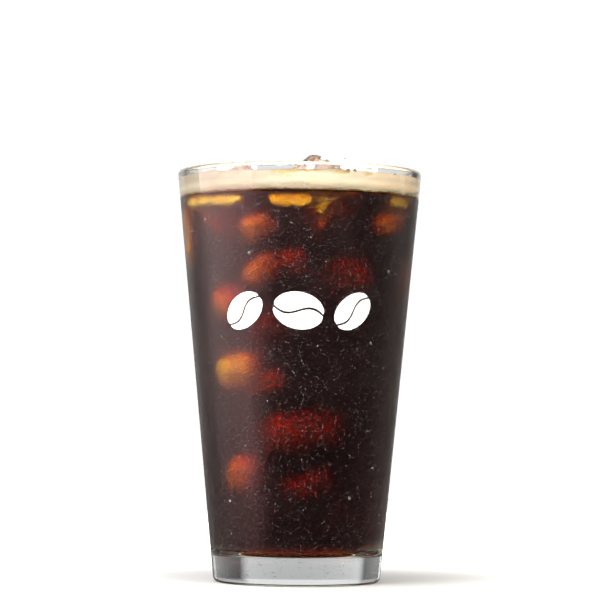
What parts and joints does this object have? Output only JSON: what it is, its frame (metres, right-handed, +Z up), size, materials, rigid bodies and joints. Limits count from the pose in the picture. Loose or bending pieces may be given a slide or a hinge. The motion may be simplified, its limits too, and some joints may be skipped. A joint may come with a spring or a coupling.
{
  "type": "iced coffee",
  "caption": "Tall tapered glass of iced coffee with a layer of milk foam, ice breaking its surface, and condensation on the glass.",
  "frame": {"origin": "centre of the glass's foot, on the surface it stands on", "axes": "+Z up along the glass's axis; -Y is the side that faces the viewer; +X to the viewer's right"},
  "size_m": [0.0886, 0.0886, 0.1551],
  "materials": {
    "glass": "clear, frosted with condensation outside",
    "coffee": "wet",
    "foam": "matt, fine bubbles",
    "ice": "wet, cloudy core"
  },
  "bodies": {
    "root": {"glass": "glass", "coffee": "coffee", "foam": "foam", "ice_front": "ice", "ice_right": "ice", "ice_back": "ice", "ice_left": "ice"}
  },
  "joints": []
}
